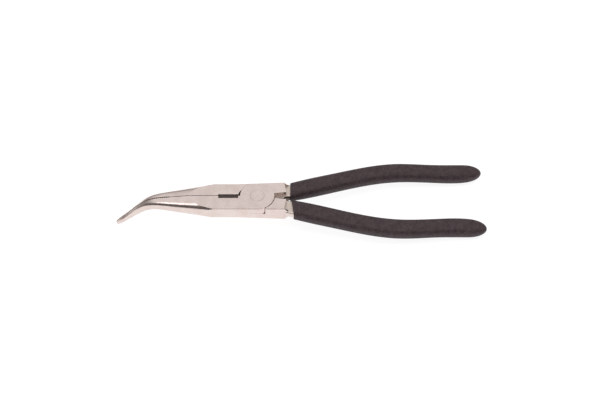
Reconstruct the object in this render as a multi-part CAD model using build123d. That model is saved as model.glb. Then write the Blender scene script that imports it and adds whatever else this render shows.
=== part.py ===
from build123d import *
import math
import os

os.makedirs("parts", exist_ok=True)

# Bent needle nose pliers with side cutters and dipped grips.
# X runs along the tool, jaws towards -X and handles towards +X.
# Z is the pivot axis. The jaws part in Y, and the tip bends down, towards -Z.
# The origin is on the pivot axis, on the flat underside of the joint.

# ---- Joint -----------------------------------------------------------------
joint_thickness = 9.0        # over the two ground faces
flank_wide = 9.2             # half width of the head on the broad edge of a flank
flank_narrow = 7.9           # half width on the other edge, the forging draft
flank_draft_end = -11.0      # X where the draft starts to fade towards the handles
flank_edge_break = 0.2       # small flats along the four long edges of the head
lap_radius = 9.25            # round lap of each lever
lap_jaw_clearance = 0.06     # round the laps, against the jaw
lap_shoulder_clearance = 0.2  # round the laps, against the shoulder
lap_edge_break = 0.15        # on both edges of that wider gap
lap_face_clearance = 0.10    # between the two lap faces
crescent_radius = 5.0        # of the relief between the lap and the back of the cutters

# ---- Rivet -----------------------------------------------------------------
rivet_diameter = 5.0
rivet_head_diameter = 7.6
rivet_head_depth = 1.3
rivet_running_clearance = 0.05

# ---- Shoulders behind the joint, and the tangs ------------------------------
shoulder_length = 15.6       # from the pivot, on the inner side
shoulder_outer_length = 14.4
shoulder_inner_front = 1.6   # Y of the inner edge beside the lap
shoulder_inner_back = 2.4    # Y of the inner edge at the back
shoulder_start = 4.4         # X where the shoulder starts beside the other lap
skirt_width = 0.9            # the outer strip of the shoulder runs down to the tang
skirt_length = 2.2
tang_gap = 0.5               # between the tangs just behind the joint
tang_thickness = 3.95
tang_root_x = 12.0
tang_root_width = 8.75
tang_front_x = 20.0          # from here on the tang is centred in the grip
tang_front_width = 8.3
tang_end_width = 5.4
tang_end_cover = 10.0        # grip material past the end of the tang
tang_corner = 0.9
tang_steps = 6               # its sections are spaced over this many equal steps

# ---- Jaws ------------------------------------------------------------------
jaw_gap = 0.3                # between the closed jaws
nose_reach = 77.8            # pivot to tip along X
bent_reach = 20.2            # the part of that in front of the corner of the bend
bend_drop = 0.66             # the nose axis has sunk this far at the corner
bend_angle = 43.0            # the bent tip below the level
bend_radius = 16.0
nose_half_width_bend = 4.64  # both jaws together, where the bend starts
nose_half_height_bend = 3.34
nose_half_width_after = 2.54  # where the bend ends
nose_half_height_after = 2.5
nose_half_width_tip = 1.09
nose_half_height_tip = 0.93
nose_width_taper = 0.18      # growth of the half width per mm towards the joint
nose_height_taper = 0.085
nose_height_flare = 0.00098  # and the square term that squares up the root
nose_squareness_root = 3.0   # power of the outline: 2 is an ellipse, more is squarer
nose_squareness_tip = 3.0
nose_outline_points = 24     # that its smooth closed outline passes through
nose_root_steps = 6          # outlines are spaced evenly over the straight root
nose_bend_steps = 3          # and over the bend
nose_lean_length = 30.0      # the flank draft fades out over this length
nose_root_x = 17.0           # inside this the head is cut by its flanks alone
nose_overlap = 1.0           # the nose is drawn this far into the head
flat_run_out = 5.6           # the ground flats have run out this far before the bend
tip_round = 1.0              # length of the rounded tip
tip_fullness = 0.93          # the rounding stops short of a point
tip_round_shares = (0.4, 0.7, 0.9, 1.0)  # of that length, where outlines stand

# ---- Teeth and cutters ------------------------------------------------------
tooth_pitch = 1.0
tooth_depth = 0.35
tooth_land = 0.16            # flat top left between two grooves
tooth_first = 0.8            # tip to the middle of the first groove
tooth_zone = 37.0            # length of nose with teeth, from the tip
cutter_from_lap = 1.0        # clear of the round lap
cutter_length = 10.7
cutter_land = 0.5            # height of the cutting edge
cutter_bevel_wide = 1.7
cutter_bevel_narrow = 0.9

# ---- Handles ------------------------------------------------------------------
handle_reach = 121.9         # pivot to the end of a grip along X
handle_root_y = 4.09         # centre line where the tang leaves the shoulder
handle_bend_x = 68.0
handle_bend_y = 19.5
handle_tail = 15.9           # the last straight run, behind the waist
handle_waist_y = 18.15
handle_end_y = 19.1
handle_bend_radius = 85.0
handle_waist_radius = 60.0

# ---- Dipped grips --------------------------------------------------------------
top_mouth_x = 17.65          # mouth of the grip on the top lap lever, on its inner side
top_mouth_slant = 0.0        # its edge runs straight across the tool
bottom_mouth_x = 18.1
bottom_mouth_slant = 7.6     # and this one runs back towards its outer side, degrees
mouth_trim = 2.5             # grip material made in front of the mouth and cut off
mouth_fade = 7.0             # from the mouth to the full size
mouth_swell_at = 0.4         # at this share of the fade
mouth_swell = 0.6            # the skin has swollen by this share
grip_width = 10.35
grip_thickness = 7.4
grip_corner = 3.1
grip_mouth_width = 9.8       # the thin rim of the dip
grip_mouth_thickness = 6.0
grip_mouth_corner = 2.4
grip_rear_scale = 0.97       # slimmer behind the bend
grip_slim_start = 0.58       # shares of the handle length
grip_slim_end = 0.76
grip_end_length = 11.0       # rounded end
grip_end_shares = (0.45, 0.7, 0.88, 0.97)  # of that length, where sections stand

half_thickness = joint_thickness / 2
lap_face = lap_face_clearance / 2
inner_face = jaw_gap / 2
bend_x = nose_reach - bent_reach
flat_end_x = bend_x - flat_run_out
cutter_start = lap_radius + cutter_from_lap
beyond = 4 * flank_wide      # past any flank, for cutting tools


def block(x0, x1, y0, y1, z0, z1):
    """A box between two corners."""
    size = (x1 - x0, y1 - y0, z1 - z0)
    centre = ((x0 + x1) / 2, (y0 + y1) / 2, (z0 + z1) / 2)
    return Pos(*centre) * Box(*size)


def cross_section(x, corners):
    """A polygon of (Y, Z) corners, standing across the tool at X."""
    return Plane(origin=(x, 0, 0), x_dir=(0, 1, 0), z_dir=(1, 0, 0)) * Polygon(*corners, align=None)


def turned_profile(*corners):
    """A solid of revolution about the pivot axis, from (radius, Z) corners."""
    return revolve(Plane.XZ * Polygon(*corners, align=None), axis=Axis.Z)


# ---- Head: the outer shape that both levers are trimmed to ------------------
def head_corners(narrow):
    """Turning the head over about X leaves it the same, so the draft is skew."""
    sharp = [
        Vector(-flank_wide, half_thickness),
        Vector(-narrow, -half_thickness),
        Vector(flank_wide, -half_thickness),
        Vector(narrow, half_thickness),
    ]
    corners = []
    for index, corner in enumerate(sharp):
        for neighbour in (sharp[index - 1], sharp[(index + 1) % len(sharp)]):
            corners.append(corner + (neighbour - corner).normalized() * flank_edge_break)
    return corners


def head_envelope():
    """Ground faces and flanks of the head; in front of them the nose is left round."""
    front = cross_section(-flat_end_x, head_corners(flank_narrow))
    middle = cross_section(flank_draft_end, head_corners(flank_narrow))
    back = cross_section(shoulder_length + skirt_length, head_corners(flank_wide))
    tip_zone = block(-2 * nose_reach, -flat_end_x, -beyond, beyond, -nose_reach, half_thickness)
    return loft([front, middle], ruled=True) + loft([middle, back], ruled=True) + tip_zone


# ---- Nose: one tapered body, split later into the two jaws -------------------
def nose_path():
    tip_drop = bend_drop + (nose_reach - bend_x) * math.tan(math.radians(bend_angle))
    points = [(nose_overlap - nose_root_x, 0, 0), (-bend_x, 0, -bend_drop), (-nose_reach, 0, -tip_drop)]
    return FilletPolyline(*points, radius=bend_radius)


def nose_lengths(path):
    """Lengths of the straight root, the bend and the straight tip."""
    return [edge.length for edge in path.edges()]


def signed_power(value, power):
    return math.copysign(abs(value) ** power, value)


def nose_outline(half_width, half_height, squareness, lean):
    """A squared ellipse, sheared sideways by lean."""
    points = []
    for index in range(nose_outline_points):
        angle = 2 * math.pi * (index + 0.5) / nose_outline_points
        across = half_width * signed_power(math.cos(angle), 2 / squareness)
        up = half_height * signed_power(math.sin(angle), 2 / squareness)
        points.append((across - lean * up, up))
    return make_face(Spline(*points, periodic=True))


def between(part, first, last):
    return first + part * (last - first)


def nose_section(path, along, root, bend, scale=1.0):
    """The nose outline at a distance along its axis from the root."""
    to_bend = root - along
    lean = 0.0
    squareness = nose_squareness_root
    if to_bend >= 0:
        half_width = nose_half_width_bend + nose_width_taper * to_bend
        half_height = nose_half_height_bend + nose_height_taper * to_bend
        half_height += nose_height_flare * to_bend**2
        lean = (flank_wide - flank_narrow) / joint_thickness * to_bend / nose_lean_length
    elif along <= root + bend:
        part = -to_bend / bend
        half_width = between(part, nose_half_width_bend, nose_half_width_after)
        half_height = between(part, nose_half_height_bend, nose_half_height_after)
        squareness = between(part, nose_squareness_root, nose_squareness_tip)
    else:
        part = (along - root - bend) / (path.length - root - bend)
        half_width = between(part, nose_half_width_after, nose_half_width_tip)
        half_height = between(part, nose_half_height_after, nose_half_height_tip)
        squareness = nose_squareness_tip
    share = along / path.length
    forward = path % share
    plane = Plane(origin=path @ share, x_dir=(0, 1, 0), z_dir=(-forward.X, 0, -forward.Z))
    return plane * nose_outline(half_width * scale, half_height * scale, squareness, lean)


def nose_body():
    """Evenly spaced outlines, then closer and smaller ones that round the tip."""
    path = nose_path()
    root, bend, tip = nose_lengths(path)
    round_start = path.length - tip_round
    stations = [root * step / nose_root_steps for step in range(nose_root_steps)]
    stations += [root + bend * step / nose_bend_steps for step in range(nose_bend_steps + 1)]
    stations += [root + bend + tip / 2, round_start]
    outlines = [nose_section(path, along, root, bend) for along in stations]
    for part in tip_round_shares:
        scale = math.sqrt(1 - (part * tip_fullness) ** 2)
        outlines.append(nose_section(path, round_start + part * tip_round, root, bend, scale))
    return loft(outlines)


def teeth_cutters():
    """Triangular ridges across the gripping faces; taken from both jaws."""
    path = nose_path()
    count = int(tooth_zone / tooth_pitch)
    ridges = []
    for index in range(count):
        along = path.length - tooth_first - tooth_pitch * index
        share = along / path.length
        forward = path % share
        plane = Plane(origin=path @ share, x_dir=(forward.X, 0, forward.Z), z_dir=(-forward.Z, 0, forward.X))
        depth = inner_face + tooth_depth
        half_groove = (tooth_pitch - tooth_land) / 2 * depth / tooth_depth
        diamond = Polygon((-half_groove, 0), (0, -depth), (half_groove, 0), (0, depth), align=None)
        ridges.append(extrude(plane * diamond, amount=joint_thickness, both=True))
    return ridges


# ---- Lever head: laps, shoulder and cutter, in its own level frame -----------
def shoulder_plan(height, lengthened):
    """Outline of the shoulder on +Y, at a height and with its end moved back."""
    corners = [
        (0, 0),
        (lap_radius, shoulder_inner_front),
        (shoulder_length + lengthened, shoulder_inner_back),
        (shoulder_outer_length + lengthened, flank_wide),
        (shoulder_outer_length + lengthened, beyond),
        (0, beyond),
    ]
    return Pos(0, 0, height) * Polygon(*corners, align=None)


def skirt():
    """The outer strip of the shoulder, sloping down from both faces to the tang."""
    half_tang = tang_thickness / 2
    body = extrude(shoulder_plan(0, skirt_length), amount=half_tang, both=True)
    for side in (-1, 1):
        foot = shoulder_plan(side * half_tang, skirt_length)
        top = shoulder_plan(side * half_thickness, 0)
        body += loft([foot, top], ruled=True)
    strip = block(0, beyond, flank_wide - skirt_width, beyond, -half_thickness, half_thickness)
    return body & strip


def round_lap():
    """A disc; the edge of its outer face is broken where it meets the shoulder."""
    disc = Pos(0, 0, lap_face) * extrude(Circle(lap_radius), amount=half_thickness - lap_face)
    edge_ring = turned_profile(
        (lap_radius, half_thickness - lap_edge_break),
        (lap_radius + lap_edge_break, half_thickness - lap_edge_break),
        (lap_radius + lap_edge_break, half_thickness),
        (lap_radius - lap_edge_break, half_thickness),
    )
    behind_pivot = block(0, beyond, -beyond, beyond, -joint_thickness, joint_thickness)
    return disc - (edge_ring & behind_pivot)


def lap_recess():
    """Room for the other lever's lap: close at the jaw, wider at the shoulder."""
    height = half_thickness + lap_face
    close = Pos(0, 0, -half_thickness) * extrude(Circle(lap_radius + lap_jaw_clearance), amount=height)
    wide_radius = lap_radius + lap_shoulder_clearance
    wide = turned_profile(
        (0, -half_thickness),
        (wide_radius + lap_edge_break, -half_thickness),
        (wide_radius, -half_thickness + lap_edge_break),
        (wide_radius, lap_face),
        (0, lap_face),
    )
    behind_pivot = block(0, beyond, -beyond, beyond, -joint_thickness, joint_thickness)
    crescent_x = crescent_radius - cutter_start
    crescent = Pos(crescent_x, 0, -half_thickness) * extrude(Circle(crescent_radius), amount=height)
    return close + crescent + (wide & behind_pivot)


def cutter_bevels():
    """The wedge of steel ground away above and below the cutting edge."""
    edge = -inner_face
    upper = [
        (edge, cutter_land / 2),
        (-cutter_bevel_wide, half_thickness),
        (-cutter_bevel_wide, joint_thickness),
        (inner_face, joint_thickness),
        (inner_face, cutter_land / 2),
    ]
    lower = [
        (edge, -cutter_land / 2),
        (-cutter_bevel_narrow, -half_thickness),
        (-cutter_bevel_narrow, -joint_thickness),
        (inner_face, -joint_thickness),
        (inner_face, -cutter_land / 2),
    ]
    start = -cutter_start - cutter_length
    above = extrude(cross_section(start, upper), amount=cutter_length, dir=(1, 0, 0))
    below = extrude(cross_section(start, lower), amount=cutter_length, dir=(1, 0, 0))
    return above + below


def lever_head():
    """The lever whose lap is on top, not trimmed yet: jaw root on -Y, shoulder on +Y."""
    jaw_root = block(-nose_root_x, 0, -beyond, -inner_face, -half_thickness, half_thickness)
    shoulder = extrude(shoulder_plan(0, 0), amount=half_thickness, both=True) + skirt()
    half_tang = tang_thickness / 2
    tang_seat = block(0, shoulder_outer_length, tang_gap / 2, beyond, -half_tang, half_tang)
    opening_relief = block(0, shoulder_start, 0, beyond, -half_thickness, lap_face)
    outside_laps = (jaw_root + shoulder + tang_seat) - lap_recess() - opening_relief
    return round_lap() + outside_laps


# ---- Handles: tang and grip follow one centre line ---------------------------
def handle_path():
    points = [
        (tang_root_x, handle_root_y, 0),
        (handle_bend_x, handle_bend_y, 0),
        (handle_reach - handle_tail, handle_waist_y, 0),
        (handle_reach, handle_end_y, 0),
    ]
    return FilletPolyline(*points, radius=[handle_bend_radius, handle_waist_radius])


def length_at(x):
    """Distance along the first straight run of the handle, at X."""
    run_x = handle_bend_x - tang_root_x
    run_y = handle_bend_y - handle_root_y
    return (x - tang_root_x) * math.hypot(run_x, run_y) / run_x


def handle_section(path, along, width, thickness, corner):
    """A rounded rectangle across the handle."""
    share = along / path.length
    forward = path % share
    plane = Plane(origin=path @ share, x_dir=forward.cross(Vector(0, 0, 1)), z_dir=forward)
    return plane * RectangleRounded(width, thickness, corner)


def tang():
    path = handle_path()
    root_centre = (tang_gap + tang_root_width) / 2
    root = Plane(origin=(tang_root_x, root_centre, 0), x_dir=(0, -1, 0), z_dir=(1, 0, 0))
    sections = [root * RectangleRounded(tang_root_width, tang_thickness, tang_corner)]
    start = length_at(tang_front_x)
    run = path.length - tang_end_cover - start
    for step in range(tang_steps + 1):
        part = step / tang_steps
        width = tang_front_width + part * (tang_end_width - tang_front_width)
        sections.append(handle_section(path, start + part * run, width, tang_thickness, tang_corner))
    return loft(sections)


def grip_skin():
    """Outside of the dipped grip: thin rim, full body, slimmer waist, round end."""
    path = handle_path()
    front = length_at(top_mouth_x - mouth_trim)
    end_start = path.length - grip_end_length
    body = [
        (front, 0.0, 1.0),
        (front + mouth_trim + mouth_fade * mouth_swell_at, mouth_swell, 1.0),
        (front + mouth_trim + mouth_fade, 1.0, 1.0),
        (path.length * grip_slim_start / 2, 1.0, 1.0),
        (path.length * grip_slim_start, 1.0, 1.0),
        (path.length * grip_slim_end, 1.0, grip_rear_scale),
        (end_start, 1.0, grip_rear_scale),
    ]
    sections = []
    for along, fullness, scale in body:
        width = scale * (grip_mouth_width + fullness * (grip_width - grip_mouth_width))
        thickness = scale * (grip_mouth_thickness + fullness * (grip_thickness - grip_mouth_thickness))
        corner = scale * (grip_mouth_corner + fullness * (grip_corner - grip_mouth_corner))
        sections.append(handle_section(path, along, width, thickness, corner))
    for part in grip_end_shares:
        scale = grip_rear_scale * math.sqrt(1 - part**2)
        size = (grip_width * scale, grip_thickness * scale, grip_corner * scale)
        sections.append(handle_section(path, end_start + grip_end_length * part, *size))
    sections.append(Vertex(*(path @ 1)))
    return loft(sections)


def trim_mouth(grip, mouth_x, slant):
    """Cuts the front of a grip off along a line that starts at mouth_x on the inner side."""
    cutter = block(-beyond, 0, -beyond, beyond, -beyond, beyond)
    return grip - Pos(mouth_x, 0, 0) * Rot(0, 0, -slant) * cutter


# ---- Rivet -------------------------------------------------------------------
def rivet(clearance):
    """Shank with a countersunk head ground flush on each face."""
    shank = rivet_diameter / 2 + clearance
    head = rivet_head_diameter / 2 + clearance
    return turned_profile(
        (0, -half_thickness),
        (head, -half_thickness),
        (shank, -half_thickness + rivet_head_depth),
        (shank, half_thickness - rivet_head_depth),
        (head, half_thickness),
        (0, half_thickness),
    )


# ---- Assembly ------------------------------------------------------------------
def levers():
    """Both levers share one head and one handle; the nose is split between them."""
    envelope = head_envelope()
    head = lever_head()
    nose = nose_body()
    low = -2 * nose_reach
    near = block(low, -nose_root_x, -beyond, -inner_face, low, joint_thickness)
    far = block(low, -nose_root_x, inner_face, beyond, low, joint_thickness)
    top_lever = ((head + (nose & near)) & envelope) + tang() - cutter_bevels()
    turned_head = head.rotate(Axis.X, 180)
    turned_tang = tang().rotate(Axis.X, 180)
    bottom_lever = ((turned_head + (nose & far)) & envelope) + turned_tang
    bottom_lever = bottom_lever - cutter_bevels().rotate(Axis.X, 180)
    teeth = teeth_cutters()
    top_lever = top_lever - teeth - rivet(rivet_running_clearance)
    bottom_lever = bottom_lever - teeth - rivet(0)
    return top_lever, bottom_lever


def main():
    top_lever, bottom_lever = levers()
    grip = grip_skin() - tang()
    top_grip = trim_mouth(grip, top_mouth_x, top_mouth_slant)
    bottom_grip = trim_mouth(grip, bottom_mouth_x, bottom_mouth_slant)
    shapes = {
        "top_lap_lever": top_lever,
        "bottom_lap_lever": bottom_lever,
        "pivot_rivet": rivet(0),
        "top_lever_grip": top_grip,
        "bottom_lever_grip": bottom_grip.rotate(Axis.X, 180),
    }
    for name, shape in shapes.items():
        placed = Pos(0, 0, half_thickness) * shape
        export_step(placed, f"parts/{name}.step")
        box = placed.bounding_box()
        print(name, len(placed.solids()), round(placed.volume, 1), box.min, box.max)


main()
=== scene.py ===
# %% [markdown]
# # Bent needle nose pliers
#
# The tool is two forged steel levers on one flush rivet, with dark dipped grips. The shapes come ready as
# exact solids, so this lesson is about the rest: where the camera and the light stand, and how each
# surface gets the finish that a maker would give it. Lengths are in metres, and `* MM` turns millimetres
# into metres.

# %% Load the solids
import math
import bpy
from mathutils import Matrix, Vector


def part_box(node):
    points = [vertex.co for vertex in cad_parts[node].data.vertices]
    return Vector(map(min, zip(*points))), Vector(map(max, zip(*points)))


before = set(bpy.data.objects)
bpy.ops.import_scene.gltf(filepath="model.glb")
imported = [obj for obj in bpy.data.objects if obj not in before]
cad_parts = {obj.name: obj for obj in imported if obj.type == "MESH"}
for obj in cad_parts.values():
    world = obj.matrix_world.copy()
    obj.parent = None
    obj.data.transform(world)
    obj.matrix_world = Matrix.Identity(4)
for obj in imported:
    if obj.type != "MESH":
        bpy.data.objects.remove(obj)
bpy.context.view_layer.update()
print("pieces:", sorted(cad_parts))

# %% [markdown]
# ## Landmarks
#
# The floor has to touch the tip and the ends of the grips, and the finishes need the middle plane of the
# tool, which lies half the joint's thickness above the origin. Both are measured from the solids here, so
# they stay right if a size changes. The pivot axis is the Z axis.

# %% Measure the landmarks
MM = 0.001
rivet_low, rivet_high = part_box("pivot_rivet")
lever_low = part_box("top_lap_lever")[0]
grip_low, grip_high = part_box("top_lever_grip")
middle_z = (rivet_low.z + rivet_high.z) / 2
half_thick = (rivet_high.z - rivet_low.z) / 2
tip_x = lever_low.x
tip_z = lever_low.z
handle_x = grip_high.x
print("joint thickness", round(2 * half_thick / MM, 2), "mm, tip at", round(tip_x / MM, 1), "mm")

# %% [markdown]
# ## Camera
#
# The tool lies across the view and is seen from the front and well above, so that both the ground top face
# and the near flank show. A long lens from 0.7 m keeps the perspective gentle, as in a catalogue. The place
# is worked out from an elevation and a distance about a target point, which is easier to think about than
# raw coordinates.

# %% Place the camera
VIEW_ELEVATION = math.radians(52.0)
VIEW_DISTANCE = 0.700
VIEW_TARGET = Vector((0.0229, 0.00044, middle_z))
LENS_MM = 77.9
SENSOR_MM = 36.0
NEAREST_SEEN = 0.01

towards_camera = Vector((0, -math.cos(VIEW_ELEVATION), math.sin(VIEW_ELEVATION)))
camera_data = bpy.data.cameras.new("studio_camera")
camera_data.lens = LENS_MM
camera_data.sensor_width = SENSOR_MM
camera_data.clip_start = NEAREST_SEEN
camera = bpy.data.objects.new("studio_camera", camera_data)
camera.location = VIEW_TARGET + towards_camera * VIEW_DISTANCE
camera.rotation_euler = (math.pi / 2 - VIEW_ELEVATION, 0, 0)
bpy.context.scene.collection.objects.link(camera)
bpy.context.scene.camera = camera
bpy.context.scene.view_settings.view_transform = "Standard"
print("camera at", [round(c, 3) for c in camera.location])

# %% [markdown]
# ## Writing a finish
#
# A finish is a tree of nodes, and most of it is arithmetic. Written node by node that gets long, so one
# small class wraps a socket and lets plain expressions such as `1 - mask` add the Math nodes. A second class
# holds the tree of one finish, and its single method `make` adds any other node.

# %% A socket that does arithmetic
class Signal:
    """One number per point of a surface, or one colour or vector."""

    def __init__(self, finish, socket):
        self.finish = finish
        self.socket = socket

    def maths(self, operation, first, second):
        return self.finish.make("ShaderNodeMath", {"operation": operation}, {0: first, 1: second})

    def __add__(self, other):
        return self.maths("ADD", self, other)

    def __sub__(self, other):
        return self.maths("SUBTRACT", self, other)

    def __rsub__(self, other):
        return self.maths("SUBTRACT", other, self)

    def __mul__(self, other):
        return self.maths("MULTIPLY", self, other)

    __radd__ = __add__
    __rmul__ = __mul__


# %% The tree of one finish
class Finish:
    """The nodes of a material, or of the sky, as they are being made."""

    def __init__(self, holder):
        holder.use_nodes = True
        self.tree = holder.node_tree
        self.tree.nodes.clear()

    def make(self, kind, settings=None, inputs=None, output=0):
        """Adds a node: first its settings, then the values or links of its sockets."""
        node = self.tree.nodes.new(kind)
        for name, value in (settings or {}).items():
            setattr(node, name, value)
        for name, value in (inputs or {}).items():
            if isinstance(value, Signal):
                self.tree.links.new(value.socket, node.inputs[name])
            else:
                node.inputs[name].default_value = value
        return Signal(self, node.outputs[output]) if node.outputs else node

    def blend(self, mask, first, second):
        """A colour that goes from first to second as the mask goes from 0 to 1."""
        settings = {"data_type": "RGBA", "clamp_factor": True}
        return self.make("ShaderNodeMix", settings, {0: mask, 6: first, 7: second}, output=2)

    def ramp(self, value, low, high, out_low=0.0, out_high=1.0):
        """A smooth step: out_low below low, out_high above high."""
        settings = {"interpolation_type": "SMOOTHSTEP", "clamp": True}
        inputs = {0: value, 1: low, 2: high, 3: out_low, 4: out_high}
        return self.make("ShaderNodeMapRange", settings, inputs)

    def size_of(self, value):
        """The value without its sign."""
        return self.make("ShaderNodeMath", {"operation": "ABSOLUTE"}, {0: value})

    def larger(self, first, second):
        """The larger of two values."""
        return self.make("ShaderNodeMath", {"operation": "MAXIMUM"}, {0: first, 1: second})

    def within(self, value, half, edge):
        """1 where the value is nearer to 0 than half, fading to 0 over the edge beyond."""
        return self.ramp(self.size_of(value), half, half + edge, 1.0, 0.0)


def rgb(red, green, blue):
    return (red, green, blue, 1.0)


def close_material(finish, name, skin):
    """Gives a material its shader, with the skin's values and links, and returns it."""
    surface = finish.make("ShaderNodeBsdfPrincipled", None, skin)
    finish.make("ShaderNodeOutputMaterial", None, {"Surface": surface})
    return bpy.data.materials[name]


print("ready to write finishes")

# %% [markdown]
# ## Places on a surface
#
# Every finish needs to know where it is on the tool. Object coordinates serve, because each solid's own
# origin is the tool's origin and they turn with a lever when it opens. Grain and mottling are noise at a
# chosen size in millimetres, and a stretched noise makes the lengthwise lines of a grinding belt.

# %% Coordinates and noise
def place_on_tool(finish):
    """The point itself, and its X, Y and height above the middle plane."""
    point = finish.make("ShaderNodeTexCoord", output=3)
    parts = [finish.make("ShaderNodeSeparateXYZ", None, {0: point}, output=axis) for axis in range(3)]
    return point, parts[0], parts[1], parts[2] - middle_z


def noise(finish, point, size, detail=2.0, stretch=(1, 1, 1)):
    """Noise whose grains measure about size metres, longer where stretch is more than 1."""
    scale = [1 / (size * share) for share in stretch]
    scaled = finish.make("ShaderNodeVectorMath", {"operation": "MULTIPLY"}, {0: point, 1: scale})
    return finish.make("ShaderNodeTexNoise", None, {"Vector": scaled, "Scale": 1.0, "Detail": detail})


print("middle plane at", round(middle_z / MM, 2), "mm")

# %% [markdown]
# ## Ground steel
#
# The head and jaws are forged, ground on a belt and lightly satin polished. The steel is warm and pale, its
# lines run along the tool, and its edges are broken by a touch of the belt. The flats of the tangs and the
# low faces behind the joint were never ground: they keep a duller, tan, slightly pitted forged skin. The
# bevels of the cutters are greyer steel with painted shade of the deep slot, and the walls of the gap
# between the tangs are painted near black as the shade that falls in that narrow gap. One finish holds them
# all, mixed by masks of place, because on the real lever they run into each other on one piece of steel.
# The tones come first, then the places where each begins and ends.

# %% Tones of the steel
GROUND_TONE = rgb(0.775, 0.668, 0.632)
GROUND_PINK = rgb(0.72, 0.600, 0.565)
FORGED_TONE = rgb(0.76, 0.66, 0.59)
FORGED_DARK = rgb(0.66, 0.565, 0.505)
# The cutter tone is greyer steel, and it is partly painted shade of the deep slot.
CUTTER_STEEL_AND_SHADE_TONE = rgb(0.56, 0.53, 0.52)
# The next tone is painted shade: near black, for the walls of the narrow gap between the tangs, where shade
# falls.
GAP_PAINTED_SHADE_TONE = rgb(0.17, 0.135, 0.12)
print("ground", GROUND_TONE[:3], "forged", FORGED_TONE[:3])

# %% Where the ground face ends
LOW_FACE_FROM = 9.7 * MM
LOW_FACE_HALF_WIDTH = 2.6 * MM
TANG_FROM = 14.9 * MM
FORGED_HALF_HEIGHT = 2.3 * MM
FLAT_FROM = 0.45
FLAT_BLEND = 0.2
CUTTER_FRONT = -21.0 * MM
CUTTER_BACK = -10.2 * MM
CUTTER_HALF_WIDTH = 1.75 * MM
GAP_HALF_WIDTH = 1.6 * MM
GAP_HALF_HEIGHT = 1.9 * MM
SOFT_EDGE = 0.25 * MM
CRISP_EDGE = 0.06 * MM


def behind_lap(finish, x):
    return finish.ramp(x, LOW_FACE_FROM - SOFT_EDGE, LOW_FACE_FROM)


def forged_mask(finish, x, y, height):
    """The low faces between the shoulders, and the flat faces of the tangs behind them."""
    between = finish.within(y, LOW_FACE_HALF_WIDTH - SOFT_EDGE, SOFT_EDGE)
    low = finish.within(height, FORGED_HALF_HEIGHT - SOFT_EDGE, SOFT_EDGE)
    facing = finish.make("ShaderNodeNewGeometry", output=1)
    facing_z = finish.make("ShaderNodeSeparateXYZ", None, {0: facing}, output=2)
    flat = finish.ramp(finish.size_of(facing_z), FLAT_FROM, FLAT_FROM + FLAT_BLEND)
    tang = finish.ramp(x, TANG_FROM - SOFT_EDGE, TANG_FROM) * flat
    return finish.larger(behind_lap(finish, x) * between, tang) * low


def cutter_steel_and_shade_mask(finish, x, y, height):
    """The bevels of the cutters, but not the ground faces that they start from: greyer steel, darkened with
    painted shade of the slot.
    """
    front = finish.ramp(x, CUTTER_FRONT - CRISP_EDGE, CUTTER_FRONT)
    back = finish.ramp(x, CUTTER_BACK, CUTTER_BACK + CRISP_EDGE, 1.0, 0.0)
    inside = finish.within(y, CUTTER_HALF_WIDTH, CRISP_EDGE)
    below = finish.within(height, half_thick - CRISP_EDGE, CRISP_EDGE)
    return front * back * inside * below


def gap_painted_shade_mask(finish, x, y, height):
    """The walls of the narrow gap between the tangs, painted near black as the shade that falls in the gap.
    """
    in_gap = finish.within(y, GAP_HALF_WIDTH, CRISP_EDGE)
    low = finish.within(height, GAP_HALF_HEIGHT, CRISP_EDGE)
    return behind_lap(finish, x) * in_gap * low


print("forged from", round(LOW_FACE_FROM / MM, 1), "mm behind the pivot")

# %% [markdown]
# The steel finish itself follows. Cloudy noise at two sizes mottles the ground tone, and very fine noise,
# drawn out sixty times along the tool, gives the belt lines, which show in roughness and in a shallow
# bump. A Bevel node rounds the light over every sharp edge, as the last touch of the belt does. The rivet
# is ground together with the lever faces, so it takes the same finish without the forged and dark places.

# %% Ground, forged and blackened steel
CLOUD_SIZE = 5.0 * MM
PATCH_SIZE = 1.1 * MM
LINE_WIDTH = 0.12 * MM
LINE_STRETCH = 60
PIT_SIZE = 0.45 * MM
CLOUD_SHARE = 0.7
MOTTLING = (0.35, 0.65)
PITTING = (0.35, 0.7)
GROUND_ROUGHNESS = 0.16
LINE_ROUGHNESS = 0.10
CLOUD_ROUGHNESS = 0.05
FORGED_ROUGHNESS = 0.22
LINE_DEPTH = 0.5
PIT_DEPTH = 6.0
BELT_EDGE = {"Radius": 0.18 * MM}
BELT_BUMP = {"Strength": 0.35, "Distance": 0.004 * MM}


def mottled_tone(finish, cloud, patch):
    mottling = cloud * CLOUD_SHARE + patch * (1 - CLOUD_SHARE)
    return finish.blend(finish.ramp(mottling, *MOTTLING), GROUND_TONE, GROUND_PINK)


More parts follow.
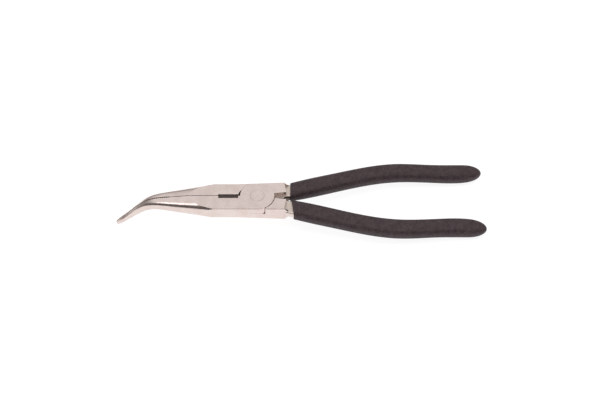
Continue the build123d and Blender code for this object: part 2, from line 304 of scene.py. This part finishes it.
def steel_finish(name, with_places):
    finish = Finish(bpy.data.materials.new(name))
    point, x, y, height = place_on_tool(finish)
    cloud = noise(finish, point, CLOUD_SIZE, detail=3.0)
    patch = noise(finish, point, PATCH_SIZE, detail=3.0)
    lines = noise(finish, point, LINE_WIDTH, stretch=(LINE_STRETCH, 1, 1))
    tone = mottled_tone(finish, cloud, patch)
    roughness = GROUND_ROUGHNESS + lines * LINE_ROUGHNESS + cloud * CLOUD_ROUGHNESS
    bump_height = lines * LINE_DEPTH
    if with_places:
        forged = forged_mask(finish, x, y, height)
        pits = noise(finish, point, PIT_SIZE, detail=4.0)
        forged_tone = finish.blend(finish.ramp(pits, *PITTING), FORGED_TONE, FORGED_DARK)
        tone = finish.blend(forged, tone, forged_tone)
        roughness = roughness + forged * FORGED_ROUGHNESS
        bump_height = bump_height + forged * pits * PIT_DEPTH
        # The cutter bevels take a greyer steel tone that also holds painted shade of the slot.
        tone = finish.blend(cutter_steel_and_shade_mask(finish, x, y, height), tone, CUTTER_STEEL_AND_SHADE_TONE)
        # The walls of the gap between the tangs are painted near black as painted shade.
        tone = finish.blend(gap_painted_shade_mask(finish, x, y, height), tone, GAP_PAINTED_SHADE_TONE)
    rounded = finish.make("ShaderNodeBevel", {"samples": 6}, BELT_EDGE)
    bump = {"Height": bump_height, "Normal": rounded, **BELT_BUMP}
    normal = finish.make("ShaderNodeBump", None, bump)
    skin = {"Base Color": tone, "Metallic": 1.0, "Roughness": roughness, "Normal": normal}
    return close_material(finish, name, skin)


ground_steel = steel_finish("ground_steel_finish", with_places=True)
rivet_steel = steel_finish("rivet_steel_finish", with_places=False)
print("steel finishes:", ground_steel.name, rivet_steel.name)

# %% [markdown]
# ## Dipped vinyl
#
# The handles were dipped hot in liquid vinyl, brown black and matte. As it gels it keeps a very fine pebble,
# and small differences of tone where it was thicker. Fine noise drives both the tone and a shallow bump,
# and a second, broader noise keeps the long surface from looking even. The shine is turned down a little
# from that of hard plastic, because the skin is soft and dull.

# %% Vinyl skin
VINYL_TONE = rgb(0.040, 0.023, 0.029)
VINYL_PALE = rgb(0.112, 0.079, 0.084)
PEBBLE_SIZE = 0.42 * MM
DIP_CLOUD_SIZE = 2.4 * MM
PEBBLE_SHARE = 0.72
DIP_MOTTLING = (0.35, 0.68)
VINYL_ROUGHNESS = 0.46
PEBBLE_ROUGHNESS = 0.2
VINYL_SHINE = 0.32
PEBBLE_BUMP = {"Strength": 0.6, "Distance": 0.05 * MM}


def vinyl_finish(name):
    finish = Finish(bpy.data.materials.new(name))
    point = place_on_tool(finish)[0]
    pebble = noise(finish, point, PEBBLE_SIZE, detail=3.0)
    cloud = noise(finish, point, DIP_CLOUD_SIZE, detail=3.0)
    mottling = pebble * PEBBLE_SHARE + cloud * (1 - PEBBLE_SHARE)
    tone = finish.blend(finish.ramp(mottling, *DIP_MOTTLING), VINYL_TONE, VINYL_PALE)
    roughness = VINYL_ROUGHNESS + pebble * PEBBLE_ROUGHNESS
    normal = finish.make("ShaderNodeBump", None, {"Height": pebble, **PEBBLE_BUMP})
    skin = {"Base Color": tone, "Roughness": roughness, "Normal": normal}
    skin["Specular IOR Level"] = VINYL_SHINE
    return close_material(finish, name, skin)


dipped_vinyl = vinyl_finish("dipped_vinyl_finish")
print("grip finish:", dipped_vinyl.name)

# %% [markdown]
# ## Dressing the solids
#
# Each solid keeps its exact shape and takes its finish through its material slot.

# %% Give each piece its finish
FINISH_OF = {
    "top_lap_lever": ground_steel,
    "bottom_lap_lever": ground_steel,
    "pivot_rivet": rivet_steel,
    "top_lever_grip": dipped_vinyl,
    "bottom_lever_grip": dipped_vinyl,
}
for piece_name, material in FINISH_OF.items():
    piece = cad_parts[piece_name]
    piece.data.materials.clear()
    piece.data.materials.append(material)
    print(piece_name, "->", material.name)

# %% [markdown]
# ## Floor
#
# The bent tip and the grips touch the table, so the joint stands a little above it. The tool keeps its own
# axes, so it is the floor that tilts to pass under the tip and the grips. It is a white sheet wide enough to
# reach the horizon, and it glows as a light table does, which keeps it white and its shadows thin.

# %% White light table
FLOOR_HALF = 30.0
FLOOR_DROP = 0.1 * MM
FLOOR_TONE = rgb(0.25, 0.25, 0.25)
FLOOR_ROUGHNESS = 0.9
FLOOR_GLOW = 0.90
floor_slope = (grip_low.z - tip_z) / (handle_x - tip_x)
corners = []
for side_x, side_y in ((-1, -1), (1, -1), (1, 1), (-1, 1)):
    far_x = side_x * FLOOR_HALF
    far_z = tip_z + (far_x - tip_x) * floor_slope - FLOOR_DROP
    corners.append((far_x, side_y * FLOOR_HALF, far_z))
floor_mesh = bpy.data.meshes.new("light_table")
floor_mesh.from_pydata(corners, [], [(0, 1, 2, 3)])
floor = bpy.data.objects.new("light_table", floor_mesh)
bpy.context.scene.collection.objects.link(floor)

table = Finish(bpy.data.materials.new("light_table_white"))
table_skin = {"Base Color": FLOOR_TONE, "Roughness": FLOOR_ROUGHNESS}
table_skin.update({"Emission Color": rgb(1, 1, 1), "Emission Strength": FLOOR_GLOW})
floor_mesh.materials.append(close_material(table, "light_table_white", table_skin))
print("floor slope", round(math.degrees(math.atan(floor_slope)), 2), "degrees")

# %% [markdown]
# ## Light
#
# Steel shows the room more than itself. A soft sky is bright above and dim near the horizon, more so in
# front than behind. The bright part gives the top faces an even sheen, and the dim part draws the dark
# band along the rounded side of the nose. One long narrow softbox overhead, a little in front, draws the
# bright line above that band.

# %% Studio sky
HORIZON_FRONT = 0.12
HORIZON_BACK = 0.33
HORIZON_BLEND = 0.4
SKY_GLOW = 0.88
BACK_SHARE = 0.35
BRIGHTENS = (0.45, 0.97)
CLEARS = (0.1, 0.8)
HORIZON_TINT = rgb(1.0, 0.93, 0.88)
SKY_TINT = rgb(1.0, 0.99, 0.985)

world = bpy.data.worlds.new("studio_sky")
bpy.context.scene.world = world
sky = Finish(world)
direction = sky.make("ShaderNodeTexCoord", output=0)
back = sky.make("ShaderNodeSeparateXYZ", None, {0: direction}, output=1)
up = sky.make("ShaderNodeSeparateXYZ", None, {0: direction}, output=2)
lean_back = up + back * BACK_SHARE
low_glow = sky.ramp(back, -HORIZON_BLEND, HORIZON_BLEND, HORIZON_FRONT, HORIZON_BACK)
high_share = sky.ramp(lean_back, *BRIGHTENS)
glow = low_glow + (SKY_GLOW - low_glow) * high_share
tint = sky.blend(sky.ramp(lean_back, *CLEARS), HORIZON_TINT, SKY_TINT)
backdrop = sky.make("ShaderNodeBackground", None, {"Color": tint, "Strength": glow})
sky.make("ShaderNodeOutputWorld", None, {"Surface": backdrop})
print("sky", SKY_GLOW, "above,", HORIZON_FRONT, "to", HORIZON_BACK, "at the horizon")

# %% Overhead softbox
SOFTBOX_SIZE = (1.2, 0.20)
SOFTBOX_PLACE = (0.02, -0.19, 0.95)
SOFTBOX_WATTS = 1.8

softbox_data = bpy.data.lights.new("overhead_softbox", "AREA")
softbox_data.shape = "RECTANGLE"
softbox_data.size, softbox_data.size_y = SOFTBOX_SIZE
softbox_data.energy = SOFTBOX_WATTS
softbox = bpy.data.objects.new("overhead_softbox", softbox_data)
softbox.location = SOFTBOX_PLACE
bpy.context.scene.collection.objects.link(softbox)
print("softbox", SOFTBOX_SIZE, "m at", SOFTBOX_PLACE)
